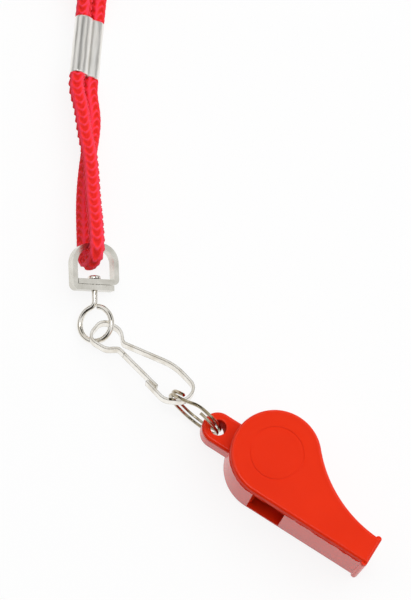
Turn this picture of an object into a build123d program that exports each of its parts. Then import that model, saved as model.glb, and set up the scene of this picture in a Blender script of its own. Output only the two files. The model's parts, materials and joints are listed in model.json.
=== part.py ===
from build123d import *
import math
import os

# A pea whistle on a cord lanyard, lying on its cheek. Millimetres, +Z up, the table at zero.
# The origin is under the axis of the sound chamber, with +X towards the mouth.

# Whistle mouldings
chamber_radius = 11.6
body_width = 17.5
shell_wall = 1.5
cheek_thickness = 1.6
cover_thickness = 2.2
edge_round = 1.0
cover_round = 0.8
mouth_reach = 33.8
mouth_height = 7.4
throat_angle = 40.0
lip_radius = 0.8
lip_proud = 0.55
windway_mouth = 3.8
windway_throat = 1.8
window_start = 1.1
window_length = 8.8
blade_slope = 0.7
rib_thickness = 1.0
rib_depth = 0.9
rib_clearance = 0.05
cheek_ring_radius = 7.1
cheek_ring_width = 0.6
cheek_ring_depth = 0.15

# Lug for the split ring
lug_reach = 16.1
lug_side = -0.8
lug_radius = 4.2
lug_thickness = 6.5
lug_hole_radius = 2.0
lug_round = 0.9
lug_hole_round = 0.4

# Pea
pea_radius = 5.2
pea_gap = 0.2
pea_angle = 60.0

# Split ring of flat wire, standing on edge through the lug
ring_radius = 7.6
ring_wire_depth = 1.0
ring_wire_width = 0.7
ring_wire_round = 0.2
ring_turn_gap = 0.5
ring_heading = 173.1
ring_shift = 0.35
ring_lift = 0.2
ring_lean = 4.5
ring_ramp_angle = 50.0
ring_ramp_place = 78.0

# Snap hook of bent strip, measured from its neck
strip_thickness = 0.7
strip_width = 2.0
hook_reach = 22.6
hook_rise = 3.4
hook_drop = 6.9
hook_eye_reach = 8.4
hook_eye_rise = 3.95
hook_eye_drop = 3.15
hook_neck_gap = 1.05
hook_end_radius = 3.5
hook_back_radius = 14.0
hook_eye_radius = 3.2
hook_neck_radius = 1.2
gate_root = 2.2
gate_reach = 14.2
gate_drop = 4.75
nose_reach = 11.2
nose_drop = 5.0
hook_heading = -1.2
hook_pitch = 7.5
hook_roll = 13.0
link_gap = 0.45

# Swivel eye of bent wire with a headed shank
eye_wire = 1.5
eye_radius = 4.55
eye_roll = 30.0
eye_lift = 0.2
eye_bend = 1.8
eye_seam = 0.05
neck_length = 10.2
head_radius = 1.7
head_height = 0.9
head_round = 0.5
head_gap = 0.1
shank_clearance = 0.08

# Swivel bow of bent strip, its two ends lapped at the base
bow_width = 13.5
bow_height = 11.0
bow_thickness = 1.4
bow_depth = 2.6
bow_shoulder = 5.4
bow_foot_radius = 0.9
bow_lap_gap = 0.15
bow_heading = 125.2
bow_tilt = 8.2
bow_roll = 24.0

# Cord and crimp
cord_diameter = 4.4
cord_reach = 48.8
cord_heading = 125.3
cord_largest_bend = 60.0
fold_gap = 0.35
crimp_length = 16.5
crimp_wall = 0.55
crimp_lane_radius = 1.65
crimp_lane_pitch = 4.85
crimp_heading = 117.5
crimp_roll = 40.0
floor_gap = 0.1

# Coil of the unseen neck loop, with its tie
coil_radius = 22.0
coil_pitch = 4.9
coil_turns = 5
coil_stand_off = 45.2
coil_heading = 117.5
coil_splay = 36.0
coil_end_run = 8.0
lead_run = 12.0
tie_thickness = 0.5
tie_width = 5.0
tie_gap = 0.1
tie_side_gap = 0.6
tie_round = 1.0

cut_overrun = 2.0

os.makedirs("parts", exist_ok=True)


def heading_vector(degrees):
    return Vector(math.cos(math.radians(degrees)), math.sin(math.radians(degrees)), 0)


def bend_radii(points, largest):
    """Radius at each inner point of a route: 0.45 of its shorter run, or the largest one allowed."""
    run_share = 0.45
    corners = [Vector(point) for point in points]
    radii = []
    for before, corner, after, limit in zip(corners, corners[1:], corners[2:], largest):
        arriving = corner - before
        leaving = after - corner
        half_turn = math.radians(arriving.get_angle(leaving)) / 2
        shorter = min(arriving.length, leaving.length)
        radii.append(min(limit, run_share * shorter / math.tan(half_turn)))
    return radii


def add_biarcs(stations):
    """Joins points that have tangents by two arcs from each to the next, in the open line."""
    for (start, leave), (end, arrive) in zip(stations, stations[1:]):
        chord = end - start
        along = chord.dot(leave + arrive)
        spread = 2 * (1 - leave.dot(arrive))
        reach = (math.sqrt(along**2 + spread * chord.dot(chord)) - along) / spread
        first = start + leave * reach
        second = end - arrive * reach
        middle = (first + second) / 2
        TangentArc(start, middle, tangent=leave)
        TangentArc(middle, end, tangent=second - first)


def least_gap(path, diameter):
    """Smallest clear distance between turns of a tube, measured on points of its path."""
    step_share = 0.25
    count = math.ceil(path.length / (step_share * diameter))
    step = path.length / count
    points = [path.position_at(step * i, PositionMode.LENGTH) for i in range(count + 1)]
    skip = math.ceil(2 * diameter / step)
    gaps = [(p - q).length for i, p in enumerate(points) for q in points[i + skip :]]
    return min(gaps) - diameter


def draw_outline():
    """Side outline of the whistle: round chamber, straight window side, mouth and hollow throat."""
    throat = math.radians(throat_angle)
    throat_start = (chamber_radius * math.cos(throat), chamber_radius * math.sin(throat))
    mouth_top = (mouth_reach, mouth_height - chamber_radius)
    with BuildLine() as outline:
        CenterArc((0, 0), chamber_radius, throat_angle, 270 - throat_angle)
        Polyline((0, -chamber_radius), (mouth_reach, -chamber_radius), mouth_top)
        TangentArc(throat_start, mouth_top, tangent=(math.sin(throat), -math.cos(throat)))
    make_face(outline.edges())


def draw_lips():
    """The two round beads along the mouth's long sides."""
    lip_x = mouth_reach - lip_radius
    lip_inset = lip_radius - lip_proud
    lip_ys = (lip_inset - chamber_radius, mouth_height - chamber_radius - lip_inset)
    with Locations(*[(lip_x, lip_y) for lip_y in lip_ys]):
        Circle(lip_radius)


tub_height = body_width - cover_thickness
chamber_inside = chamber_radius - shell_wall
window_end = window_start + window_length
windway_side = -chamber_inside
lug_middle = body_width / 2
lip_end = edge_round / 2

# Whistle body: tub with lug, chamber, windway, window and a cored pocket in the throat
with BuildPart() as whistle_body:
    with BuildSketch(Plane.XY.offset(lug_middle - lug_thickness / 2)):
        with Locations((-lug_reach, lug_side)):
            Circle(lug_radius)
            Rectangle(lug_reach, 2 * lug_radius, align=(Align.MIN, Align.CENTER))
    extrude(amount=lug_thickness)
    fillet(whistle_body.edges().filter_by(Axis.Z, reverse=True), lug_round)
    with Locations(Plane((-lug_reach, lug_side, lug_middle + lug_thickness / 2))):
        Hole(lug_hole_radius, lug_thickness)
    hole_rims = whistle_body.edges().filter_by(GeomType.CIRCLE)
    fillet(hole_rims.filter_by(lambda rim: rim.radius == lug_hole_radius), lug_hole_round)
    with BuildSketch():
        draw_outline()
    extrude(amount=tub_height)
    fillet(whistle_body.edges().group_by(Axis.Z)[0], edge_round)
    with BuildSketch(Plane.XY.offset(lip_end)):
        draw_lips()
    extrude(amount=tub_height - lip_end)
    windway_outline = [
        (window_start, windway_side),
        (mouth_reach + cut_overrun, windway_side),
        (mouth_reach + cut_overrun, windway_side + windway_mouth),
        (window_end, windway_side + windway_throat),
        (window_start, windway_side + windway_throat),
    ]
    window_outline = [
        (window_start, windway_side + windway_throat),
        (window_start, windway_side),
        (window_start - blade_slope, -chamber_radius),
        (window_start - blade_slope, -chamber_radius - cut_overrun),
        (window_end, -chamber_radius - cut_overrun),
        (window_end, windway_side + windway_throat),
    ]
    with BuildSketch(Plane.XY.offset(cheek_thickness)):
        Circle(chamber_inside)
        with BuildLine():
            Polyline(*windway_outline, close=True)
        make_face()
        with BuildLine():
            Polyline(*window_outline, close=True)
        make_face()
    extrude(amount=tub_height, mode=Mode.SUBTRACT)
    pocket_floor = [
        (0, -chamber_radius - cut_overrun),
        (mouth_reach, -chamber_radius - cut_overrun),
        (mouth_reach, windway_side + windway_mouth + shell_wall),
        (window_end, windway_side + windway_throat + shell_wall),
        (0, windway_side + windway_throat + shell_wall),
    ]
    with BuildSketch(Plane.XY.offset(cheek_thickness)):
        draw_outline()
        offset(amount=-shell_wall, mode=Mode.REPLACE)
        Circle(chamber_radius, mode=Mode.SUBTRACT)
        with BuildLine():
            Polyline(*pocket_floor, close=True)
        make_face(mode=Mode.SUBTRACT)
    extrude(amount=tub_height, mode=Mode.SUBTRACT)
whistle_body.part.label = "whistle_body"
export_step(whistle_body.part, "parts/whistle_body.step")

# Side cover: the upper cheek, welded on the tub, with a locating rib and a shallow ring
with BuildPart() as side_cover:
    with BuildSketch(Plane.XY.offset(tub_height)):
        draw_outline()
    extrude(amount=cover_thickness)
    fillet(side_cover.edges().group_by(Axis.Z)[-1], cover_round)
    with BuildSketch(Plane.XY.offset(tub_height)):
        draw_lips()
    extrude(amount=cover_thickness - lip_end)
    rib_radius = chamber_inside - rib_clearance
    with BuildSketch(Plane.XY.offset(tub_height)):
        Circle(rib_radius)
        Circle(rib_radius - rib_thickness, mode=Mode.SUBTRACT)
        with Locations((-window_start - rib_thickness, chamber_radius / 2)):
            Rectangle(
                2 * chamber_radius,
                2 * chamber_radius,
                align=(Align.MIN, Align.MAX),
                mode=Mode.SUBTRACT,
            )
    extrude(amount=-rib_depth)
    with BuildSketch(Plane.XY.offset(body_width)):
        Circle(cheek_ring_radius)
        Circle(cheek_ring_radius - cheek_ring_width, mode=Mode.SUBTRACT)
    extrude(amount=-cheek_ring_depth, mode=Mode.SUBTRACT)
side_cover.part.label = "side_cover"
export_step(side_cover.part, "parts/side_cover.step")

# Pea: loose ball, lying on the lower cheek away from the window
pea_place = heading_vector(pea_angle) * (chamber_inside - pea_radius - pea_gap)
pea_height = cheek_thickness + pea_radius + pea_gap
with BuildPart() as pea:
    with Locations((pea_place.X, pea_place.Y, pea_height)):
        Sphere(pea_radius)
pea.part.label = "pea"
export_step(pea.part, "parts/pea.step")

# Split ring: one flat wire of two turns, with a ramp from turn to turn
ring_outside = ring_radius + ring_wire_depth / 2
ring_height = max(lug_middle, ring_outside + ring_lift)
ring_rise = lug_middle - ring_height
ring_stand_off = math.sqrt(ring_radius**2 - ring_rise**2) - ring_shift
ring_forward = heading_vector(ring_heading)
ring_middle = Vector(-lug_reach, lug_side, ring_height) + ring_forward * ring_stand_off
lean = math.radians(ring_lean)
ring_side = ring_forward.cross(Vector(0, 0, 1))
ring_normal = ring_side * math.cos(lean) + Vector(0, 0, math.sin(lean))
ring_plane = Plane(ring_middle, x_dir=ring_forward, z_dir=ring_normal)
turn_shift = (ring_wire_width + ring_turn_gap) / 2


def ring_station(degrees, side):
    """Point and tangent of the split ring's wire at an angle, on one of its two turns."""
    angle = math.radians(degrees)
    local_point = Vector(math.cos(angle), math.sin(angle), 0) * ring_radius
    local_point += Vector(0, 0, side * turn_shift)
    local_tangent = Vector(-math.sin(angle), math.cos(angle), 0)
    tangent = ring_plane.x_dir * local_tangent.X + ring_plane.y_dir * local_tangent.Y
    return ring_plane.from_local_coords(local_point), tangent


ramp_start = ring_ramp_place - ring_ramp_angle / 2
flat_turn = 360 - ring_ramp_angle
flat_stops = [ramp_start + ring_ramp_angle + flat_turn * step / 4 for step in range(5)]
ring_stations = [ring_station(stop, -1) for stop in flat_stops]
ring_stations += [ring_station(stop, 1) for stop in flat_stops]
with BuildPart() as split_ring:
    with BuildLine() as ring_path:
        add_biarcs(ring_stations)
    ring_start = Plane(
        ring_path.line @ 0, x_dir=ring_plane.z_dir, z_dir=ring_path.line % 0
    )
    with BuildSketch(ring_start):
        RectangleRounded(ring_wire_width, ring_wire_depth, ring_wire_round)
    sweep(path=ring_path.line)
split_ring.part.label = "split_ring"
print("split ring least gap", round(least_gap(ring_path.wire(), ring_wire_width), 2))
export_step(split_ring.part, "parts/split_ring.step")

# Snap hook: its round end passes through the split ring, just inside the ring's far side
link_room = ring_radius - ring_wire_depth / 2 - link_gap
link_slack = turn_shift + ring_wire_width / 2 + strip_thickness
link_reach = math.sqrt(link_room**2 - (strip_width / 2) ** 2) - link_slack
link_place = ring_middle + ring_forward * link_reach
pitch = math.tan(math.radians(hook_pitch))
roll = math.tan(math.radians(hook_roll))
hook_forward = heading_vector(hook_heading) + Vector(0, 0, pitch)
hook_tilted = Plane(link_place, x_dir=hook_forward, z_dir=(-pitch, roll, 1))
link_share_x = 0.939
link_share_y = 0.645
hook_neck = hook_tilted.from_local_coords(
    Vector(-link_share_x * hook_reach, link_share_y * hook_drop, 0)
)
hook_plane = Plane(hook_neck, x_dir=hook_tilted.x_dir, z_dir=hook_tilted.z_dir)

nose_corner_share = 0.785
end_low_share = 0.6
end_high_share = 0.3
back_share = 0.645
eye_near_share = 0.31
gate_direction = Vector(gate_reach, hook_neck_gap - gate_drop, 0).normalized()
gate_start = Vector(0, -hook_neck_gap, 0) + gate_direction * gate_root
hook_points = [
    (nose_reach, -nose_drop),
    (nose_corner_share * hook_reach, -hook_drop),
    (hook_reach, -end_low_share * hook_drop),
    (hook_reach, end_high_share * hook_rise),
    (back_share * hook_reach, hook_rise),
    (0, hook_neck_gap),
    (-eye_near_share * hook_eye_reach, hook_eye_rise),
    (-hook_eye_reach, hook_eye_rise),
    (-hook_eye_reach, -hook_eye_drop),
    (-eye_near_share * hook_eye_reach, -hook_eye_drop),
    (0, -hook_neck_gap),
    (gate_start.X, gate_start.Y),
]
hook_limits = [
    hook_end_radius,
    hook_end_radius,
    hook_end_radius,
    hook_back_radius,
    hook_neck_radius,
    hook_eye_radius,
    hook_eye_radius,
    hook_eye_radius,
    hook_eye_radius,
    hook_neck_radius,
]
with BuildPart() as hook_frame:
    with BuildSketch(hook_plane):
        with BuildLine():
            FilletPolyline(*hook_points, radius=bend_radii(hook_points, hook_limits))
        trace(line_width=strip_thickness)
    extrude(amount=strip_width / 2, both=True)
hook_frame.part.label = "hook_frame"
export_step(hook_frame.part, "parts/hook_frame.step")

# Gate: the springy leg of the strip, from the neck to the inside of the nose
with BuildPart() as hook_gate:
    with BuildSketch(hook_plane):
        with BuildLine():
            Line((gate_start.X, gate_start.Y), (gate_reach, -gate_drop))
        trace(line_width=strip_thickness)
    extrude(amount=strip_width / 2, both=True)
hook_gate.part.label = "hook_gate"
export_step(hook_gate.part, "parts/hook_gate.step")

# Swivel eye: ring of wire linked through the hook's eye, on a shank headed inside the bow
bow_tilt_angle = math.radians(bow_tilt)
level_across = heading_vector(bow_heading - 90)
bow_along = heading_vector(bow_heading) * math.cos(bow_tilt_angle)
bow_along += Vector(0, 0, math.sin(bow_tilt_angle))
level_normal = level_across.cross(bow_along)
bow_roll_angle = math.radians(bow_roll)
bow_across = level_across * math.cos(bow_roll_angle) - level_normal * math.sin(bow_roll_angle)
eye_roll_angle = math.radians(eye_roll)
eye_across = level_across * math.cos(eye_roll_angle) + level_normal * math.sin(eye_roll_angle)
eye_back_share = 1.08
eye_side_share = 0.47
eye_middle = hook_plane.from_local_coords(
    Vector(-eye_back_share * hook_eye_reach, eye_side_share * hook_eye_rise, eye_lift)
)
eye_plane = Plane(eye_middle, x_dir=eye_across, z_dir=eye_across.cross(bow_along))
bow_middle = eye_middle + bow_along * neck_length
bend_angle = math.acos(eye_bend / (eye_radius + eye_bend))
bend_height = (eye_radius + eye_bend) * math.sin(bend_angle)
seam_angle = math.asin((eye_wire / 2 + eye_seam) / eye_radius)
eye_sweep = 270 + math.degrees(bend_angle - seam_angle)
lap_half = bow_thickness + bow_lap_gap / 2
shank_top = neck_length + lap_half + head_gap
shank_end = eye_plane.from_local_coords(Vector(0, shank_top, 0))
with BuildPart() as swivel_eye:
    with BuildLine(eye_plane) as eye_path:
        Line((0, shank_top), (0, bend_height))
        CenterArc((-eye_bend, bend_height), eye_bend, 0, -math.degrees(bend_angle))
        CenterArc((0, 0), eye_radius, 180 - math.degrees(bend_angle), eye_sweep)
    with BuildSketch(Plane(shank_end, x_dir=eye_across, z_dir=-bow_along)):
        Circle(eye_wire / 2)
    sweep(path=eye_path.line)
    with BuildSketch(Plane(shank_end, x_dir=eye_across, z_dir=bow_along)):
        Circle(head_radius)
    extrude(amount=head_height)
    fillet(swivel_eye.edges().sort_by(Axis(shank_end, bow_along))[-1], head_round)
swivel_eye.part.label = "swivel_eye"
export_step(swivel_eye.part, "parts/swivel_eye.step")

# Swivel bow: one bent strip, its ends lapped at the base and drilled for the shank
bow_plane = Plane(bow_middle, x_dir=bow_across, z_dir=bow_across.cross(bow_along))
leg_side = (bow_width - bow_thickness) / 2
lap_middle = (bow_thickness + bow_lap_gap) / 2
lap_end = bow_width / 2 - bow_thickness - bow_lap_gap
bar_height = bow_height - bow_thickness / 2
bow_points = [
    (-lap_end, lap_middle),
    (leg_side, lap_middle),
    (leg_side, bar_height),
    (-leg_side, bar_height),
    (-leg_side, -lap_middle),
    (lap_end, -lap_middle),
]
bow_limits = [bow_foot_radius, bow_shoulder, bow_shoulder, bow_foot_radius]
with BuildPart() as swivel_bow:
    with BuildSketch(bow_plane):
        with BuildLine():
            FilletPolyline(*bow_points, radius=bend_radii(bow_points, bow_limits))
        trace(line_width=bow_thickness)
    extrude(amount=bow_depth / 2, both=True)
    with BuildSketch(Plane(bow_middle - bow_along * lap_half, x_dir=bow_across, z_dir=bow_along)):
        Circle(eye_wire / 2 + shank_clearance)
    extrude(amount=2 * lap_half, mode=Mode.SUBTRACT)
swivel_bow.part.label = "swivel_bow"
export_step(swivel_bow.part, "parts/swivel_bow.step")

# Crimp: folded sleeve with two lanes, lying on its lower lane
bar_middle = bow_middle + bow_along * bar_height
cord_forward = heading_vector(cord_heading)
cord_right = heading_vector(cord_heading - 90)
crimp_along = heading_vector(crimp_heading)
crimp_right = heading_vector(crimp_heading - 90)
crimp_roll_angle = math.radians(crimp_roll)
crimp_across = crimp_right * math.cos(crimp_roll_angle)
crimp_across -= Vector(0, 0, math.sin(crimp_roll_angle))
lobe_radius = crimp_lane_radius + crimp_wall
lane_half = crimp_lane_pitch / 2
crimp_height = lobe_radius + floor_gap + lane_half * math.sin(crimp_roll_angle)
crimp_low = Vector(bar_middle.X, bar_middle.Y, crimp_height) + cord_forward * cord_reach
crimp_high = crimp_low + crimp_along * crimp_length
crimp_plane = Plane(crimp_high, x_dir=crimp_across, z_dir=-crimp_along)
with BuildPart() as crimp:
    with BuildSketch(crimp_plane):
        with Locations((-lane_half, 0), (lane_half, 0)):
            Circle(lobe_radius)
        Rectangle(crimp_lane_pitch, lobe_radius, align=(Align.CENTER, Align.MAX))
        with Locations((-lane_half, 0), (lane_half, 0)):
            Circle(crimp_lane_radius, mode=Mode.SUBTRACT)
    extrude(amount=crimp_length)
crimp.part.label = "crimp"
export_step(crimp.part, "parts/crimp.step")


def lane_place(end, side):
    """Middle of a lane at one end of the crimp, side -1 for the left lane and 1 for the right."""
    return end + crimp_across * (side * lane_half)


# Cord in the crimp: the two pinched lengths that fill the lanes
with BuildPart() as cord_pinch_left:
    with BuildSketch(Plane(lane_place(crimp_high, -1), x_dir=crimp_across, z_dir=-crimp_along)):
        Circle(crimp_lane_radius)
    extrude(amount=crimp_length)
cord_pinch_left.part.label = "cord_pinch_left"
export_step(cord_pinch_left.part, "parts/cord_pinch_left.step")
with BuildPart() as cord_pinch_right:
    with BuildSketch(Plane(lane_place(crimp_high, 1), x_dir=crimp_across, z_dir=-crimp_along)):
        Circle(crimp_lane_radius)
    extrude(amount=crimp_length)
cord_pinch_right.part.label = "cord_pinch_right"
export_step(cord_pinch_right.part, "parts/cord_pinch_right.step")


def report_cord(name, path, solid):
    """Prints a tube's length, its least gap to itself and its volume against section by length."""
    section = math.pi * cord_diameter**2 / 4
    gap = least_gap(path, cord_diameter)
    volume_share = solid.volume / (section * path.length)
    print(name, "length", round(path.length), "least gap", round(gap, 2), "volume", round(volume_share, 3))


# Cord fold: over the bow's bar, round it and back under the front strand to the crimp
strand_low = cord_diameter / 2 + floor_gap
fold_high = bar_middle.Z + bow_depth / 2 + cord_diameter / 2 + fold_gap
fold_reach = (fold_high - strand_low) / 2
front_shares = [
    (0.79, -0.27, 0.88),
    (0.66, -0.2, 1.03),
    (0.49, 0.1, 1.14),
    (0.255, 0.1, 1.32),
]
back_shares = [(0.295, -0.36), (0.5, -0.06), (0.69, 0.38), (0.79, 0.45)]
front_side_share = 0.17
back_side_share = -0.42
fold_start_share = 0.075


def strand_point(along, side, height):
    """A point of the cord between bow and crimp, from its distance, side step and height."""
    place = Vector(bar_middle.X, bar_middle.Y, height)
    return place + cord_forward * along + cord_right * (side * cord_diameter)


fold_points = [
    lane_place(crimp_low, -1),
    lane_place(crimp_low, -1) - crimp_along * cord_diameter,
]
for along_share, side_share, rise_share in front_shares:
    height = strand_low + rise_share * cord_diameter
    fold_points.append(strand_point(along_share * cord_reach, side_share, height))
fold_points += [
    strand_point(fold_start_share * cord_reach, front_side_share, fold_high),
    strand_point(-fold_reach, front_side_share, fold_high),
    strand_point(-fold_reach, back_side_share, strand_low),
    strand_point(fold_start_share * cord_reach, back_side_share, strand_low),
]
for along_share, side_share in back_shares:
    fold_points.append(strand_point(along_share * cord_reach, side_share, strand_low))
fold_points += [
    lane_place(crimp_low, 1) - crimp_along * cord_diameter,
    lane_place(crimp_low, 1),
]
fold_radii = bend_radii(fold_points, [cord_largest_bend] * (len(fold_points) - 2))
print("fold bend radii", [round(radius, 1) for radius in fold_radii])
with BuildPart() as cord_fold:
    with BuildLine() as fold_path:
        FilletPolyline(*fold_points, radius=fold_radii)
    with BuildSketch(Plane(fold_path.line @ 0, z_dir=fold_path.line % 0)):
        Circle(cord_diameter / 2)
    sweep(path=fold_path.line)
cord_fold.part.label = "cord_fold"
report_cord("fold", fold_path.wire(), cord_fold.part)
export_step(cord_fold.part, "parts/cord_fold.step")

# Coil: the unseen neck loop, spiralling in on the table and out on top of itself
coil_low = tie_thickness + tie_gap + cord_diameter / 2
coil_place = crimp_high + heading_vector(coil_heading) * coil_stand_off
half_sweep = 180 * coil_turns + 90 + coil_splay
coil_inner = coil_radius - coil_pitch * half_sweep / 720


def coil_station(degrees):
    """Point and tangent of the coil's middle line, zero degrees being where it turns outwards."""
    place_angle = math.radians(coil_heading + 180 + degrees)
    out = Vector(math.cos(place_angle), math.sin(place_angle), 0)
    radius = coil_inner + coil_pitch * abs(degrees) / 360
    climb_angle = math.radians(max(-90, min(90, degrees)))
    height = coil_low + coil_pitch * (1 + math.sin(climb_angle)) / 2
    growth = math.copysign(coil_pitch / math.tau, degrees) if degrees else 0
    tangent = out * growth + Vector(-out.Y, out.X, 0) * radius
    tangent += Vector(0, 0, coil_pitch * math.cos(climb_angle) / 2)
    point = Vector(coil_place.X, coil_place.Y, height) + out * radius
    return point, tangent.normalized()


quarter_turns = math.floor(half_sweep / 90)
coil_stops = [90 * step for step in range(-quarter_turns, quarter_turns + 1)]
coil_stations = [coil_station(stop) for stop in (-half_sweep, *coil_stops, half_sweep)]
coil_first, coil_enter = coil_stations[0]
coil_last, coil_leave = coil_stations[-1]
with BuildPart() as cord_coil:
    with BuildLine() as coil_path:
        add_biarcs(coil_stations)
    with BuildSketch(Plane(coil_first, z_dir=coil_enter)):
        Circle(cord_diameter / 2)
    sweep(path=coil_path.line)
cord_coil.part.label = "cord_coil"
report_cord("coil", coil_path.wire(), cord_coil.part)
export_step(cord_coil.part, "parts/cord_coil.step")

# Leads: the two cords from the crimp to the ends of the coil
lead_left_points = [
    lane_place(crimp_high, -1),
    lane_place(crimp_high, -1) + crimp_along * lead_run,
    coil_last + coil_leave * coil_end_run,
    coil_last,
]
lead_right_points = [
    lane_place(crimp_high, 1),
    lane_place(crimp_high, 1) + crimp_along * lead_run,
    coil_first - coil_enter * coil_end_run,
    coil_first,
]
with BuildPart() as cord_lead_left:
    with BuildLine() as left_path:
        left_radii = bend_radii(lead_left_points, [cord_largest_bend] * 2)
        FilletPolyline(*lead_left_points, radius=left_radii)
    with BuildSketch(Plane(left_path.line @ 0, z_dir=left_path.line % 0)):
        Circle(cord_diameter / 2)
    sweep(path=left_path.line)
cord_lead_left.part.label = "cord_lead_left"
report_cord("left lead", left_path.wire(), cord_lead_left.part)
export_step(cord_lead_left.part, "parts/cord_lead_left.step")
with BuildPart() as cord_lead_right:
    with BuildLine() as right_path:
        right_radii = bend_radii(lead_right_points, [cord_largest_bend] * 2)
        FilletPolyline(*lead_right_points, radius=right_radii)
    with BuildSketch(Plane(right_path.line @ 0, z_dir=right_path.line % 0)):
        Circle(cord_diameter / 2)
    sweep(path=right_path.line)
cord_lead_right.part.label = "cord_lead_right"
report_cord("right lead", right_path.wire(), cord_lead_right.part)
export_step(cord_lead_right.part, "parts/cord_lead_right.step")
print("lead bend radii", [round(radius, 1) for radius in left_radii + right_radii])

# Coil tie: flat band round all turns at the far side of the coil
far_inside = coil_inner + coil_pitch / 2 - cord_diameter / 2 - tie_side_gap
far_outside = coil_inner + coil_pitch * (coil_turns / 2) + cord_diameter / 2 + tie_side_gap
tie_height = coil_pitch + cord_diameter + 2 * tie_gap
tie_out = heading_vector(coil_heading)
tie_middle = Vector(coil_place.X, coil_place.Y, tie_thickness + tie_height / 2)
tie_middle += tie_out * ((far_inside + far_outside) / 2)
tie_normal = tie_out.cross(Vector(0, 0, 1))
with BuildPart() as coil_tie:
    with BuildSketch(Plane(tie_middle, x_dir=tie_out, z_dir=tie_normal)):
        RectangleRounded(
            far_outside - far_inside + 2 * tie_thickness,
            tie_height + 2 * tie_thickness,
            tie_round + tie_thickness,
        )
        RectangleRounded(far_outside - far_inside, tie_height, tie_round, mode=Mode.SUBTRACT)
    extrude(amount=tie_width / 2, both=True)
coil_tie.part.label = "coil_tie"
export_step(coil_tie.part, "parts/coil_tie.step")
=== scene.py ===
import json
import math

import bmesh
import bpy
from mathutils import Matrix, Vector, geometry, noise


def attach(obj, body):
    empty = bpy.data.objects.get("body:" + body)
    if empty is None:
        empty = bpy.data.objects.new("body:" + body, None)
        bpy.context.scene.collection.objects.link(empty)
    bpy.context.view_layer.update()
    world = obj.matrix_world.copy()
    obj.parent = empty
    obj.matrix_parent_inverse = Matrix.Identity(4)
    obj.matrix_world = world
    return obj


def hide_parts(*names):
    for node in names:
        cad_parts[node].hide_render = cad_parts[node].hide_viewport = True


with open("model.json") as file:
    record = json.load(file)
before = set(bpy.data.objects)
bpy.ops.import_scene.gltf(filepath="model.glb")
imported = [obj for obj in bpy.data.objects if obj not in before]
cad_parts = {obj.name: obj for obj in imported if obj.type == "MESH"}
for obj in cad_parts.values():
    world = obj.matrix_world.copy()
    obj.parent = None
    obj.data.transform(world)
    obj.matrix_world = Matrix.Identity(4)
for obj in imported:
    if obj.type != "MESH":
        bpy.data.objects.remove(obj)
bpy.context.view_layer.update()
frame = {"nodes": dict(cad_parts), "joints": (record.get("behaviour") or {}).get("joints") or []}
nodes = frame["nodes"]
scene = bpy.context.scene

# Whistle body: a tub moulded in one piece from orange-red plastic, with the lug at its back. Its walls
# came glossy from the mould, with faint flow marks and handling scratches, and the lug hole is duller.
lug_hole = next(joint["pos_m"] for joint in frame["joints"] if joint["name"] == "ring_swing")
dull_radius = 0.00205
gloss_radius = 0.0024
moulded = {
    "IOR": 1.5,
    "Subsurface Weight": 0.06,
    "Subsurface Radius": (1.0, 0.22, 0.1),
    "Subsurface Scale": 0.0012,
}


def add_step(tree, kind, inputs=(), **settings):
    """Adds one step to a finish or a shape. Each input is the socket that feeds it or a plain value."""
    node = tree.nodes.new(kind)
    for name, value in settings.items():
        setattr(node, name, value)
    for key, value in dict(inputs).items():
        if isinstance(value, bpy.types.NodeSocket):
            tree.links.new(value, node.inputs[key])
        else:
            node.inputs[key].default_value = value
    return node


def start_finish(name, constants):
    """Starts a finish, and gives it, its node tree, its shader's inputs and the coordinates on a piece."""
    finish = bpy.data.materials.new(name)
    finish.use_nodes = True
    shader = finish.node_tree.nodes["Principled BSDF"]
    for key, value in constants.items():
        shader.inputs[key].default_value = value
    place = add_step(finish.node_tree, "ShaderNodeTexCoord").outputs
    return finish, finish.node_tree, shader.inputs, place


plastic, tree, shader, place = start_finish("whistle_plastic", {**moulded, "Specular IOR Level": 0.26})


def mottle(tree, vector, scale, detail):
    """Adds an uneven pattern on some coordinates, and gives its value."""
    pattern = add_step(tree, "ShaderNodeTexNoise", {"Vector": vector, "Scale": scale, "Detail": detail})
    return pattern.outputs["Fac"]


def colour_by(tree, value, *stops):
    """Colours a pattern through stops of a position and a colour, and gives the colour."""
    ramp = add_step(tree, "ShaderNodeValToRGB", {"Fac": value})
    elements = ramp.color_ramp.elements
    for element, (position, colour) in zip(elements, (stops[0], stops[-1])):
        element.position = position
        element.color = (*colour, 1)
    for position, colour in stops[1:-1]:
        elements.new(position).color = (*colour, 1)
    return ramp.outputs["Color"]


flow = mottle(tree, place["Object"], scale=70.0, detail=3.0)
tint = colour_by(tree, flow, (0.3, (0.80, 0.026, 0.0035)), (0.72, (0.86, 0.031, 0.0045)))
tree.links.new(tint, shader["Base Color"])
stretch = add_step(tree, "ShaderNodeMapping", {
    "Vector": place["Object"],
    "Rotation": (0.0, 0.0, 0.6),
    "Scale": (160.0, 2600.0, 2600.0),
})
scratch = mottle(tree, stretch.outputs["Vector"], scale=1.0, detail=2.0)


def spread(tree, value, source, target):
    """Spreads a pattern's values from one range over another, and gives the result."""
    ends = {"From Min": source[0], "From Max": source[1], "To Min": target[0], "To Max": target[1]}
    return add_step(tree, "ShaderNodeMapRange", {"Value": value, **ends}).outputs["Result"]


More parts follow.
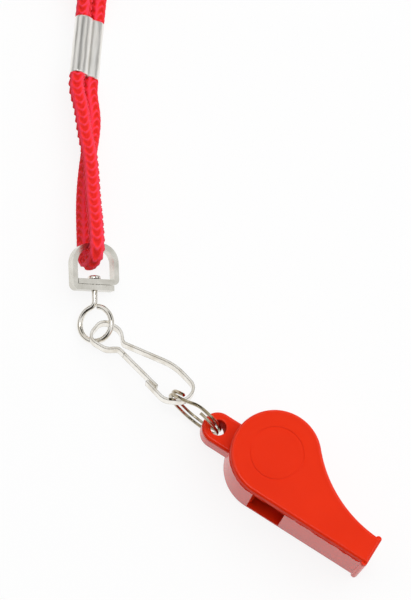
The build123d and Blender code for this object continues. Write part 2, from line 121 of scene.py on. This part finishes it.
rough = spread(tree, scratch, (0.3, 0.75), (0.17, 0.25))
flat_place = add_step(
    tree, "ShaderNodeVectorMath", {0: place["Object"], 1: (1.0, 1.0, 0.0)}, operation="MULTIPLY"
)
from_hole = add_step(
    tree,
    "ShaderNodeVectorMath",
    {0: flat_place.outputs["Vector"], 1: (*lug_hole[:2], 0.0)},
    operation="DISTANCE",
)
hole_rough = spread(tree, from_hole.outputs["Value"], (dull_radius, gloss_radius), (0.8, 0.0))
duller = add_step(tree, "ShaderNodeMath", {0: rough, 1: hole_rough}, operation="MAXIMUM")
tree.links.new(duller.outputs["Value"], shader["Roughness"])
skin = mottle(tree, place["Object"], scale=900.0, detail=2.0)
scratch_share = 0.5
marks = add_step(tree, "ShaderNodeMath", {0: scratch, 1: scratch_share, 2: skin}, operation="MULTIPLY_ADD")


def press_grain(tree, shader, height, strength, distance):
    """Presses a pattern into a finish, and gives the bump node."""
    sizes = {"Strength": strength, "Distance": distance}
    bump = add_step(tree, "ShaderNodeBump", {"Height": height, **sizes})
    tree.links.new(bump.outputs["Normal"], shader["Normal"])
    return bump


press_grain(tree, shader, marks.outputs["Value"], strength=0.05, distance=0.0002)


def dress(piece, finish):
    """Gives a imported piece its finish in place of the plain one."""
    piece.data.materials.clear()
    piece.data.materials.append(finish)


dress(nodes["whistle_body"], plastic)

# Side cover: the second cheek, moulded apart in the same plastic and welded over the tub. Its face is
# smooth and glossy, and the mould left its rim and its inner side matt.
cover_plastic, tree, shader, place = start_finish("cover_plastic", {**moulded, "Specular IOR Level": 0.3})
flow = mottle(tree, place["Object"], scale=55.0, detail=3.0)
tint = colour_by(tree, flow, (0.3, (0.81, 0.027, 0.0035)), (0.72, (0.87, 0.032, 0.0045)))
tree.links.new(tint, shader["Base Color"])
facing = add_step(tree, "ShaderNodeSeparateXYZ", {"Vector": place["Normal"]})
rim = spread(tree, facing.outputs["Z"], (0.3, 0.7), (0.65, 0.2))
tree.links.new(rim, shader["Roughness"])
skin = mottle(tree, place["Object"], scale=900.0, detail=2.0)
press_grain(tree, shader, skin, strength=0.05, distance=0.0002)
dress(nodes["side_cover"], cover_plastic)

# Weld bead: the thin uneven line of plastic squeezed out between tub and cover when they were welded,
# left along the window side and round the back of the chamber.
seam_radius = 0.01162
seam_height = 0.01528
seam_end = 0.0319
seam_first_angle = 185
seam_turn = 85
seam_steps = 24
seam_points = []
for step in range(seam_steps + 1):
    angle = math.radians(seam_first_angle + seam_turn * step / seam_steps)
    seam_points.append((seam_radius * math.cos(angle), seam_radius * math.sin(angle), seam_height))
for step in range(1, seam_steps + 1):
    seam_points.append((seam_end * step / seam_steps, -seam_radius, seam_height))
seam_line = bpy.data.curves.new("seam_line", "CURVE")
seam_line.dimensions = "3D"
seam_spline = seam_line.splines.new("POLY")
seam_spline.points.add(len(seam_points) - 1)
for control, point in zip(seam_spline.points, seam_points):
    control.co = (*point, 1.0)
seam_guide = bpy.data.objects.new("seam_guide", seam_line)
scene.collection.objects.link(seam_guide)


def start_shape(name, sizes):
    """Starts a geometry tree with named inputs, and gives it, its two ends and the inputs' identifiers."""
    shape = bpy.data.node_groups.new(name, "GeometryNodeTree")
    shape.interface.new_socket("Geometry", in_out="INPUT", socket_type="NodeSocketGeometry")
    keys = {}
    for size, kind in sizes.items():
        socket = shape.interface.new_socket(size, in_out="INPUT", socket_type="NodeSocket" + kind)
        keys[size] = socket.identifier
    shape.interface.new_socket("Geometry", in_out="OUTPUT", socket_type="NodeSocketGeometry")
    given = shape.nodes.new("NodeGroupInput").outputs
    result = shape.nodes.new("NodeGroupOutput").inputs
    return shape, given, result, keys


weld, given, result, weld_keys = start_shape(
    "weld_bead", {"Thickness": "Float", "Wander": "Float", "Steps": "Int", "Plastic": "Material"}
)
even = add_step(weld, "GeometryNodeResampleCurve", {"Curve": given["Geometry"], "Count": given["Steps"]})
waver = add_step(weld, "ShaderNodeTexNoise", {"Scale": 700.0, "Detail": 2.0})
centred = add_step(
    weld, "ShaderNodeVectorMath", {0: waver.outputs["Color"], 1: (0.5, 0.5, 0.5)}, operation="SUBTRACT"
)
shift = add_step(
    weld, "ShaderNodeVectorMath", {0: centred.outputs["Vector"], "Scale": given["Wander"]}, operation="SCALE"
)
uneven = add_step(
    weld, "GeometryNodeSetPosition", {"Geometry": even.outputs["Curve"], "Offset": shift.outputs["Vector"]}
)
lumps = add_step(weld, "ShaderNodeTexNoise", {"Scale": 320.0, "Detail": 3.0})
swell = spread(weld, lumps.outputs["Fac"], (0.38, 0.66), (0.15, 1.5))
thread = add_step(weld, "GeometryNodeCurvePrimitiveCircle", {"Resolution": 8, "Radius": given["Thickness"]})
bead = add_step(weld, "GeometryNodeCurveToMesh", {
    "Curve": uneven.outputs["Geometry"],
    "Profile Curve": thread.outputs["Curve"],
    "Scale": swell,
    "Fill Caps": True,
})


def end_shape(shape, mesh, finish, result):
    """Ends a geometry tree with smooth shading, real geometry and its material."""
    smooth = add_step(shape, "GeometryNodeSetShadeSmooth", {"Geometry": mesh})
    real = add_step(shape, "GeometryNodeRealizeInstances", {"Geometry": smooth.outputs["Geometry"]})
    dressed = {"Geometry": real.outputs["Geometry"], "Material": finish}
    last = add_step(shape, "GeometryNodeSetMaterial", dressed)
    shape.links.new(last.outputs["Geometry"], result["Geometry"])


def make_piece(name, guide, shape, keys, values):
    """Runs a geometry tree along a guide line, and keeps what it makes as a plain mesh."""
    step = guide.modifiers.new(shape.name, "NODES")
    step.node_group = shape
    for size, value in values.items():
        step[keys[size]] = value
    bpy.context.view_layer.update()
    made = guide.evaluated_get(bpy.context.evaluated_depsgraph_get())
    piece = bpy.data.objects.new(name, bpy.data.meshes.new_from_object(made))
    scene.collection.objects.link(piece)
    bpy.data.objects.remove(guide)
    return piece


end_shape(weld, bead.outputs["Mesh"], given["Plastic"], result)
weld_sizes = {"Thickness": 0.00016, "Wander": 0.0003, "Steps": 260, "Plastic": cover_plastic}
weld_bead = make_piece("weld_bead", seam_guide, weld, weld_keys, weld_sizes)
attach(weld_bead, "whistle")

# Pea: a small ball turned from cork, loose in the chamber, where the breath drives it round. It is matt,
# with the dark specks and the pits that cork has.
cork, tree, shader, place = start_finish("pea_cork", {"Roughness": 0.85})
cells = add_step(tree, "ShaderNodeTexVoronoi", {"Vector": place["Object"], "Scale": 900.0})
specks = mottle(tree, place["Object"], scale=420.0, detail=4.0)
grain = colour_by(tree, specks, (0.36, (0.13, 0.06, 0.025)), (0.5, (0.52, 0.29, 0.12)))
tree.links.new(grain, shader["Base Color"])
press_grain(tree, shader, cells.outputs["Distance"], strength=0.5, distance=0.0003)
dress(nodes["pea"], cork)

# Split ring: flat spring wire wound twice and threaded through the lug. Its worn plating has a brassy
# tone and fine pits, with darker patches that are smoother than the rest.
whole_range = (0.0, 1.0)
ring_metal, tree, shader, place = start_finish("ring_steel", {"Metallic": 1.0})
wear = mottle(tree, place["Object"], scale=520.0, detail=5.0)
tint = colour_by(tree, wear, (0.35, (0.34, 0.27, 0.16)), (0.65, (0.62, 0.55, 0.42)))
tree.links.new(tint, shader["Base Color"])
tree.links.new(spread(tree, wear, whole_range, (0.1, 0.3)), shader["Roughness"])
press_grain(tree, shader, wear, strength=0.12, distance=0.0001)
dress(nodes["split_ring"], ring_metal)

# Hook frame, gate and swivel eye: steel strip bent to a snap hook and steel wire bent to an eye, both
# nickel plated. The plating is warm white and polished, with small scuffs, and rounds the strip's corners
# a little. A band along its edges is painted dark as painted shade, for the dark room seen in the edges.
nickel, tree, shader, place = start_finish("hook_nickel", {"Metallic": 1.0})
scuff = mottle(tree, place["Object"], scale=380.0, detail=4.0)
tint = colour_by(tree, scuff, (0.32, (0.72, 0.67, 0.58)), (0.6, (0.92, 0.89, 0.83)))
# Painted shade: the base colour darkens along each edge, where the rounded shading normal turns away from
# the true face.
rounded_edge_normal = add_step(tree, "ShaderNodeBevel", {"Radius": 0.0003})
face = add_step(tree, "ShaderNodeNewGeometry")
flatness = add_step(
    tree,
    "ShaderNodeVectorMath",
    {0: rounded_edge_normal.outputs["Normal"], 1: face.outputs["True Normal"]},
    operation="DOT_PRODUCT",
)
painted_edge_darkening = spread(tree, flatness.outputs["Value"], (0.78, 0.99), (0.03, 1.0))
tint_with_painted_edges = add_step(tree, "ShaderNodeVectorMath", {0: tint, "Scale": painted_edge_darkening}, operation="SCALE")
tree.links.new(tint_with_painted_edges.outputs["Vector"], shader["Base Color"])
tree.links.new(spread(tree, scuff, whole_range, (0.06, 0.2)), shader["Roughness"])
bump = press_grain(tree, shader, scuff, strength=0.1, distance=0.0001)
corner = add_step(tree, "ShaderNodeBevel", {"Radius": 0.00024})
tree.links.new(corner.outputs["Normal"], bump.inputs["Normal"])
for name, slot in (
    ("hook_frame", "hook_nickel"),
    ("hook_gate", "hook_nickel"),
    ("swivel_eye", "swivel_nickel"),
):
    dress(nodes[name], nickel)

# Swivel bow: plated strip bent to a D, its ends lapped and pierced for the eye's shank. Its faces are
# tumbled, so they have a soft grain and duller patches than the wire.
tumbled, tree, shader, place = start_finish("swivel_nickel", {"Metallic": 1.0})
patch = mottle(tree, place["Object"], scale=240.0, detail=6.0)
tint = colour_by(tree, patch, (0.3, (0.56, 0.54, 0.48)), (0.66, (0.80, 0.78, 0.72)))
tree.links.new(tint, shader["Base Color"])
tree.links.new(spread(tree, patch, whole_range, (0.16, 0.36)), shader["Roughness"])
pits = mottle(tree, place["Object"], scale=2200.0, detail=2.0)
press_grain(tree, shader, pits, strength=0.14, distance=0.0001)
dress(nodes["swivel_bow"], tumbled)

# Cord: a knitted tube of red polyester yarn, folded through the bow, pinched by the crimp and wound
# up past it. One spline gives its line, and the stitches are pressed into the tube round that line.
# Its points are in millimetres, each with the width there as a share of the full width.
pinched = 0.75
full = 1.0
lane_left = (Vector((-99.5, 63.0, 5.4)), Vector((-107.1, 77.6, 5.4)))
lane_right = (Vector((-96.2, 64.7, 2.3)), Vector((-103.8, 79.4, 2.3)))
fold_route = [
    (-97.4, 59.1, 5.4), (-92.9, 54.8, 6.2), (-88.9, 49.8, 6.8), (-83.1, 43.8, 7.3),
    (-76.4, 34.4, 8.1), (-71.1, 27.5, 10.2), (-66.7, 21.2, 10.2), (-68.8, 19.7, 2.3),
    (-73.2, 26.0, 2.3), (-79.2, 34.9, 2.3), (-83.9, 43.8, 2.3), (-87.7, 52.5, 2.3),
    (-90.3, 56.6, 2.3), (-94.1, 60.8, 2.3),
]
lead_right_route = [(-109.3, 90.0, 2.3), (-98.6, 106.4, 2.8)]
lead_left_route = [(-132.2, 88.9, 7.7), (-112.6, 88.3, 5.4)]
coil_middle = Vector((-126.3, 118.6, 0.0))
coil_heading = 117.5
coil_inner = 15.02
coil_pitch = 4.9
coil_low = 2.8
coil_half_sweep = 1026.0
steps_per_turn = 24


def lane_points(lane, width, *shares):
    """Points along one lane of the crimp, at shares of its length, each with the cord's width there."""
    low, high = lane
    return [(low.lerp(high, share), width) for share in shares]


def free_points(points):
    """Points of the free cord, each with its full width."""
    return [(Vector(point), full) for point in points]


def coil_point(degrees):
    """A point of the coil, zero degrees being where it climbs on itself and turns outwards."""
    angle = math.radians(coil_heading + 180 + degrees)
    radius = (coil_inner + coil_pitch * abs(degrees) / 360) / math.cos(math.pi / steps_per_turn)
    climb = math.sin(math.radians(max(-90, min(90, degrees))))
    height = coil_low + coil_pitch * (1 + climb) / 2
    return coil_middle + Vector((radius * math.cos(angle), radius * math.sin(angle), height))


coil_steps = round(2 * coil_half_sweep / 360 * steps_per_turn)
coil_stops = [coil_half_sweep * (2 * step / coil_steps - 1) for step in range(coil_steps + 1)]
route = lane_points(lane_left, pinched, 0.48, 0.3, 0.07)
route += lane_points(lane_left, full, -0.01, -0.09)
route += free_points(fold_route)
route += lane_points(lane_right, full, -0.09, -0.01)
route += lane_points(lane_right, pinched, 0.07, 0.3, 0.7, 0.93)
route += lane_points(lane_right, full, 1.01, 1.09)
route += free_points(lead_right_route)
route += free_points([coil_point(stop) for stop in coil_stops])
route += free_points(lead_left_route)
route += lane_points(lane_left, full, 1.09, 1.01)
route += lane_points(lane_left, pinched, 0.93, 0.7, 0.52)
line = bpy.data.curves.new("cord_line", "CURVE")
line.dimensions = "3D"
line.resolution_u = 12
spline = line.splines.new("NURBS")
spline.points.add(len(route) - 1)
for control, (point, width) in zip(spline.points, route):
    control.co = (*(point / 1000), 1.0)
    control.radius = width
spline.order_u = 3
spline.use_endpoint_u = True
cord_guide = bpy.data.objects.new("cord_guide", line)
scene.collection.objects.link(cord_guide)
bpy.context.view_layer.update()
line_mesh = bpy.data.meshes.new_from_object(cord_guide)

knit, given, result, knit_keys = start_shape("knit_cord", {
    "Radius": "Float", "Rows": "Int", "Stitch": "Float", "Wales": "Float",
    "Turn": "Float", "Lean": "Float", "Depth": "Float", "Yarn": "Material",
})


def knit_math(operation, *values):
    """Adds one sum to the stitch pattern, from sockets or plain numbers, and gives its result."""
    return add_step(knit, "ShaderNodeMath", enumerate(values), operation=operation).outputs[0]


def keep_value(source, name, value):
    """Keeps a value on each point under a name, and gives the geometry that holds it."""
    kept = {"Geometry": source, "Name": name, "Value": value}
    return add_step(knit, "GeometryNodeStoreNamedAttribute", kept).outputs["Geometry"]


def read_value(name):
    """Gives the value that is kept on each point under a name."""
    return add_step(knit, "GeometryNodeInputNamedAttribute", {"Name": name}).outputs["Attribute"]


rows = add_step(knit, "GeometryNodeResampleCurve", {"Curve": given["Geometry"], "Count": given["Rows"]})
along = add_step(knit, "GeometryNodeSplineParameter")
section = add_step(knit, "GeometryNodeCurvePrimitiveCircle", {"Resolution": 32, "Radius": given["Radius"]})
around = add_step(knit, "GeometryNodeSplineParameter")
local_width = add_step(knit, "GeometryNodeInputRadius")
tube = add_step(knit, "GeometryNodeCurveToMesh", {
    "Curve": keep_value(rows.outputs["Curve"], "along", along.outputs["Length"]),
    "Profile Curve": keep_value(section.outputs["Curve"], "around", around.outputs["Factor"]),
    "Scale": local_width.outputs["Radius"],
    "Fill Caps": True,
})
loop_curve = 1.7
crest_sharpness = 1.6
rib_start = 1.75
rib_fall = -1.9
rib_blend = 0.3
rib_least = 0.12
wale = knit_math("FRACT", knit_math("MULTIPLY_ADD", read_value("around"), given["Wales"], given["Turn"]))
side = knit_math("ABSOLUTE", knit_math("MULTIPLY_ADD", wale, 2.0, -1.0))
course = knit_math("DIVIDE", read_value("along"), given["Stitch"])
slope = knit_math("MULTIPLY", knit_math("POWER", side, loop_curve), given["Lean"])
phase = knit_math("MULTIPLY", knit_math("ADD", course, slope), math.tau)
crest = knit_math("MULTIPLY_ADD", knit_math("COSINE", phase), 0.5, 0.5)
hollow = knit_math("SUBTRACT", 1.0, knit_math("POWER", crest, crest_sharpness))
rib = knit_math("MULTIPLY_ADD", side, rib_fall, rib_start)
open_share = knit_math("MAXIMUM", knit_math("SMOOTH_MIN", 1.0, rib, rib_blend), rib_least)
sunk = knit_math("MULTIPLY", hollow, open_share)
inset = knit_math("MULTIPLY", knit_math("MULTIPLY", sunk, given["Depth"]), -1.0)
outward = add_step(knit, "GeometryNodeInputNormal")
press = add_step(
    knit, "ShaderNodeVectorMath", {0: outward.outputs["Normal"], "Scale": inset}, operation="SCALE"
)
stitched = add_step(knit, "GeometryNodeSetPosition", {
    "Geometry": keep_value(tube.outputs["Mesh"], "sunk", sunk),
    "Offset": press.outputs["Vector"],
})
end_shape(knit, stitched.outputs["Geometry"], given["Yarn"], result)

yarn, tree, shader, place = start_finish("cord_knit", {
    "Roughness": 0.8,
    "Sheen Weight": 0.15,
    "Sheen Roughness": 0.4,
    "Sheen Tint": (1.0, 0.35, 0.5, 1),
})
# Painted light: the yarn's colour follows how deep each point is sunk, pink on the raised loops as a painted
# sheen and darker red in the hollows as painted shade. The fibre noise adds real uneven tone.
sunk_for_painted_light = add_step(tree, "ShaderNodeAttribute", attribute_name="sunk")
fibre = mottle(tree, place["Object"], scale=2600.0, detail=3.0)
fibre_share = 0.35
fibre_and_painted_depth = add_step(
    tree, "ShaderNodeMath", {0: fibre, 1: fibre_share, 2: sunk_for_painted_light.outputs["Fac"]}, operation="MULTIPLY_ADD"
)
tint = colour_by(
    tree,
    fibre_and_painted_depth.outputs["Value"],
    (0.16, (1.0, 0.046, 0.115)),
    (0.55, (1.0, 0.018, 0.014)),
    (1.0, (0.80, 0.008, 0.003)),
)
tree.links.new(tint, shader["Base Color"])
press_grain(tree, shader, fibre, strength=0.35, distance=0.0002)
knit_sizes = {
    "Radius": 0.0022, "Rows": 3400, "Stitch": 0.0022, "Wales": 4.0,
    "Turn": 0.5, "Lean": 1.0, "Depth": 0.0006, "Yarn": yarn,
}
cord_knit = make_piece("cord_knit", cord_guide, knit, knit_keys, knit_sizes)
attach(cord_knit, "lanyard")
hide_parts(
    "cord_fold", "cord_pinch_left", "cord_pinch_right",
    "cord_lead_left", "cord_lead_right", "cord_coil",
)

# Crimp: a sleeve folded from soft sheet round both lanes of cord, its two long edges rolled in to meet
# in the valley between the lanes. The pressing leaves shallow dents and lengthwise streaks.
crimp_low = Vector((-0.0978071, 0.0638595, 0.0038588))
crimp_along = Vector((-0.461749, 0.887011, 0.0))
crimp_across = Vector((0.67949, 0.35372, -0.642788))
crimp_up = Vector((0.57016, 0.296806, 0.766044))
crimp_heading = 117.5
crimp_length = 0.0165
lobe_radius = 0.0022
lane_radius = 0.00165
lane_half = 0.002425
valley_depth = 0.00062
belly_rise = 0.00012
slit_top = 0.00007
slit_foot = 0.00003
slit_floor = 0.0012
dent_depth = 0.00006
dent_scale = 900
dent_run = 5
sheet_shy = 0.00004
valley_steps = 12
lobe_steps = 16
belly_steps = 8
lane_steps = 32
middle_steps = 22
end_cuts = [(0.0, 0.00014), (0.012, 0.00004), (0.03, 0.0)]


def valley_point(x):
    """A point of the rolled edges between the two lobes, lowest in the middle."""
    return x, lobe_radius - valley_depth * (1 - abs(x) / lane_half) ** 2


def lobe_points(side, first_angle):
    """Half a circle round one lane, clockwise from an angle."""
    angles = [math.radians(first_angle - 180 * step / lobe_steps) for step in range(lobe_steps + 1)]
    middle = side * lane_half
    return [(middle + lobe_radius * math.cos(a), lobe_radius * math.sin(a)) for a in angles]


outer = [valley_point(lane_half * step / valley_steps) for step in range(1, valley_steps)]
outer += lobe_points(1, 90)
for step in range(1, belly_steps):
    lift = belly_rise * math.sin(math.pi * step / belly_steps)
    outer.append((lane_half - 2 * lane_half * step / belly_steps, lift - lobe_radius))
outer += lobe_points(-1, -90)
outer += [valley_point(-lane_half * step / valley_steps) for step in range(valley_steps - 1, 0, -1)]
slit_rim = lobe_radius - valley_depth
outer += [(-slit_top, slit_rim), (-slit_foot, slit_floor), (slit_foot, slit_floor), (slit_top, slit_rim)]
lane_angles = [math.tau * step / lane_steps for step in range(lane_steps)]
lanes = [
    [(middle + lane_radius * math.cos(a), lane_radius * math.sin(a)) for a in lane_angles]
    for middle in (-lane_half, lane_half)
]


def press_sheet(x, y, share, cut):
    """Moves a point of the outside inwards by the cut at the sleeve's ends and in or out by the dents."""
    hub = Vector((math.copysign(lane_half, x), 0))
    out = Vector((x, y)) - hub
    dent = dent_depth * noise.noise(Vector((x * dent_scale, y * dent_scale, share * dent_run)))
    return hub + out * ((out.length - cut + dent - sheet_shy) / out.length)


end_share = end_cuts[-1][0]
stations = list(end_cuts)
for step in range(1, middle_steps):
    stations.append((end_share + (1 - 2 * end_share) * step / middle_steps, 0.0))
stations += [(1 - share, cut) for share, cut in reversed(end_cuts)]
shell = bmesh.new()
sleeve_rings = []
for share, cut in stations:
    centre = crimp_low + crimp_along * (share * crimp_length)
    loops = []
    for loop in ([press_sheet(x, y, share, cut) for x, y in outer], *lanes):
        loops.append([shell.verts.new(centre + crimp_across * x + crimp_up * y) for x, y in loop])
    sleeve_rings.append(loops)


def join_rings(made, first, second):
    """Joins two closed rings of points by a band of faces."""
    for i in range(len(first)):
        j = (i + 1) % len(first)
        made.faces.new((first[i], first[j], second[j], second[i]))


def end_mesh(made, name, finish):
    """Turns the faces outwards, shades them smooth and gives them as a piece with its finish."""
    bmesh.ops.recalc_face_normals(made, faces=made.faces)
    for face in made.faces:
        face.smooth = True
    mesh = bpy.data.meshes.new(name)
    made.to_mesh(mesh)
    made.free()
    mesh.materials.append(finish)
    piece = bpy.data.objects.new(name, mesh)
    scene.collection.objects.link(piece)
    return piece


for low, high in zip(sleeve_rings, sleeve_rings[1:]):
    for first, second in zip(low, high):
        join_rings(shell, first, second)
drawn = [[(*point, 0.0) for point in loop] for loop in (outer, *lanes)]
for loops in (sleeve_rings[0], sleeve_rings[-1]):
    flat = [vertex for loop in loops for vertex in loop]
    for triangle in geometry.tessellate_polygon(drawn):
        shell.faces.new([flat[i] for i in triangle])
crimp_metal, tree, shader, place = start_finish("crimp_metal", {"Metallic": 1.0})
turn = add_step(tree, "ShaderNodeMapping", {
    "Vector": place["Object"],
    "Rotation": (0.0, 0.0, math.radians(-crimp_heading)),
})
stretch = add_step(tree, "ShaderNodeMapping", {
    "Vector": turn.outputs["Vector"],
    "Scale": (130.0, 1500.0, 1500.0),
})
streak = mottle(tree, stretch.outputs["Vector"], scale=1.0, detail=4.0)
tint = colour_by(tree, streak, (0.3, (0.86, 0.84, 0.78)), (0.68, (0.99, 0.98, 0.95)))
tree.links.new(tint, shader["Base Color"])
tree.links.new(spread(tree, streak, whole_range, (0.3, 0.46)), shader["Roughness"])
press_grain(tree, shader, streak, strength=0.2, distance=0.0001)
crimp_sleeve = end_mesh(shell, "crimp_sleeve", crimp_metal)
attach(crimp_sleeve, "lanyard")
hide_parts("crimp")

# Coil tie: a band of black woven tape, passed once round all turns of the coil, with its ends sewn
# together. Its two edges are bound, so they stand a little proud of the tape between them.
tie_middle = Vector((-0.13663, 0.13843, 0.00525))
tie_out = Vector((-0.461749, 0.887011, 0.0))
tie_side = Vector((0.887011, 0.461749, 0.0))
tie_up = Vector((0.0, 0.0, 1.0))
tie_reach = 0.0077
tie_rise = 0.00475
tie_bend = 0.0010
tape_thickness = 0.00049
tape_half_width = 0.0025
corner_steps = 6
tape_section = [
    (-1.0, 0.1), (-0.92, 1.0), (-0.4, 0.86), (0.4, 0.86), (0.92, 1.0), (1.0, 0.1), (0.92, 0.0), (-0.92, 0.0),
]
band = bmesh.new()
band_rings = []
for along_sign, up_sign, first_angle in ((1, 1, 0), (-1, 1, 90), (-1, -1, 180), (1, -1, 270)):
    bend_middle = Vector((along_sign * (tie_reach - tie_bend), up_sign * (tie_rise - tie_bend)))
    for step in range(corner_steps + 1):
        angle = math.radians(first_angle + 90 * step / corner_steps)
        out = Vector((math.cos(angle), math.sin(angle)))
        ring = []
        for side_share, lift_share in tape_section:
            spot = bend_middle + out * (tie_bend + lift_share * tape_thickness)
            level = tie_middle + tie_side * (side_share * tape_half_width)
            ring.append(band.verts.new(level + tie_out * spot.x + tie_up * spot.y))
        band_rings.append(ring)
for first, second in zip(band_rings, band_rings[1:] + band_rings[:1]):
    join_rings(band, first, second)
tape_cloth, tree, shader, place = start_finish("tie_tape", {"Roughness": 0.9})
threads = add_step(tree, "ShaderNodeTexBrick", {
    "Vector": place["Object"],
    "Scale": 900.0,
    "Color1": (0.030, 0.030, 0.034, 1),
    "Color2": (0.045, 0.045, 0.05, 1),
    "Mortar": (0.008, 0.008, 0.009, 1),
})
tree.links.new(threads.outputs["Color"], shader["Base Color"])
bump = press_grain(tree, shader, threads.outputs["Fac"], strength=0.5, distance=0.0002)
bump.invert = True
tie_band = end_mesh(band, "tie_band", tape_cloth)
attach(tie_band, "lanyard")
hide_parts("coil_tie")

# Stage: a plain sheet of white paper under the whistle. It shows soft shadows, and the eye and the
# metal see most of it as pure white.
floor_half = 3.0
floor_white = 0.86
sheet = bmesh.new()
bmesh.ops.create_grid(sheet, x_segments=8, y_segments=8, size=floor_half)
floor_mesh = bpy.data.meshes.new("floor")
sheet.to_mesh(floor_mesh)
sheet.free()
floor = bpy.data.objects.new("floor", floor_mesh)
scene.collection.objects.link(floor)
paper = bpy.data.materials.new("floor_paper")
paper.use_nodes = True
tree = paper.node_tree
tree.nodes.remove(tree.nodes["Principled BSDF"])
matte = add_step(tree, "ShaderNodeBsdfDiffuse", {"Color": (0.94, 0.94, 0.94, 1)})
glow = add_step(tree, "ShaderNodeEmission", {"Strength": 1.0})
rays = add_step(tree, "ShaderNodeLightPath").outputs
seen = add_step(
    tree, "ShaderNodeMath", {0: rays["Is Camera Ray"], 1: rays["Is Glossy Ray"]}, operation="MAXIMUM"
)
either = add_step(
    tree, "ShaderNodeMath", {0: seen.outputs["Value"], 1: rays["Is Transmission Ray"]}, operation="MAXIMUM"
)
part_white = add_step(
    tree, "ShaderNodeMath", {0: either.outputs["Value"], 1: floor_white}, operation="MULTIPLY"
)
mix = add_step(tree, "ShaderNodeMixShader", {
    "Fac": part_white.outputs["Value"],
    1: matte.outputs["BSDF"],
    2: glow.outputs["Emission"],
})
tree.links.new(mix.outputs["Shader"], tree.nodes["Material Output"].inputs["Surface"])
floor_mesh.materials.append(paper)

# Light: a white tent with a dark card over the flat cheek, so that it keeps its colour. The tent is open
# low down and at the photographer's side, where the dark room draws lines on the metal. A broad lamp
# above lights it all, and a small one adds glints.
white = (1.0, 1.0, 1.0)
dark_room = (0.03, 0.025, 0.018)
card_direction = (-0.0725, 0.306, 0.949)
front_direction = (0.0, -0.87, 0.49)
world = bpy.data.worlds.new("tent")
scene.world = world
world.use_nodes = True
tree = world.node_tree
way = add_step(tree, "ShaderNodeTexCoord").outputs["Generated"]


def towards(direction):
    """How far each way points in a direction."""
    turned_way = add_step(tree, "ShaderNodeVectorMath", {0: way, 1: direction}, operation="DOT_PRODUCT")
    return turned_way.outputs["Value"]


def shade_by(first, second):
    """One colour darkened by another."""
    colours = {"Factor": 1.0, 6: first, 7: second}
    return add_step(tree, "ShaderNodeMix", colours, data_type="RGBA", blend_type="MULTIPLY").outputs[2]


card = colour_by(tree, towards(card_direction), (0.90, (0.86, 0.86, 0.86)), (0.955, (0.03, 0.03, 0.03)))
room = colour_by(tree, towards(front_direction), (0.74, white), (0.84, dark_room))
height = add_step(tree, "ShaderNodeSeparateXYZ", {"Vector": way}).outputs["Z"]
horizon = colour_by(tree, height, (0.24, dark_room), (0.42, white))
tent = shade_by(shade_by(card, room), horizon)
rays = add_step(tree, "ShaderNodeLightPath").outputs
direct = add_step(
    tree, "ShaderNodeMix", {"Factor": rays["Is Camera Ray"], 6: tent, 7: (*white, 1)}, data_type="RGBA"
)
sky = tree.nodes["Background"].inputs
sky["Strength"].default_value = 1.0
tree.links.new(direct.outputs[2], sky["Color"])


def hang_lamp(name, size, energy, location):
    """Hangs a square lamp, which shines straight down."""
    lamp_data = bpy.data.lights.new(name, "AREA")
    lamp_data.size = size
    lamp_data.energy = energy
    lamp = bpy.data.objects.new(name, lamp_data)
    lamp.location = location
    scene.collection.objects.link(lamp)
    return lamp


lamp_target = Vector((-0.03, 0.02, 0.0))
soft_lamp = hang_lamp("soft_lamp", size=1.0, energy=5.1, location=(0.12, 0.30, 0.90))
soft_lamp.visible_glossy = False
soft_lamp.rotation_mode = "QUATERNION"
soft_lamp.rotation_quaternion = (lamp_target - soft_lamp.location).to_track_quat("-Z", "Y")
hang_lamp("glint_lamp", size=0.2, energy=0.7, location=(-0.11, -0.06, 1.0))

# Camera: the photograph's view, steep from the window side, with a long lens. Its place and turn were
# fitted to the 411 by 600 frame.
camera_right = Vector((0.844278, 0.525517, 0.105006))
camera_up = Vector((-0.530974, 0.793775, 0.296626))
camera_place = Vector((0.00819, -0.16377, 0.60093))
camera_data = bpy.data.cameras.new("camera")
camera_data.lens = 144.0
camera_data.sensor_width = 36.0
camera = bpy.data.objects.new("camera", camera_data)
scene.collection.objects.link(camera)
camera_turn = Matrix((camera_right, camera_up, camera_right.cross(camera_up))).transposed()
camera.matrix_world = Matrix.Translation(camera_place) @ camera_turn.to_4x4()
scene.camera = camera
scene.view_settings.view_transform = "Standard"
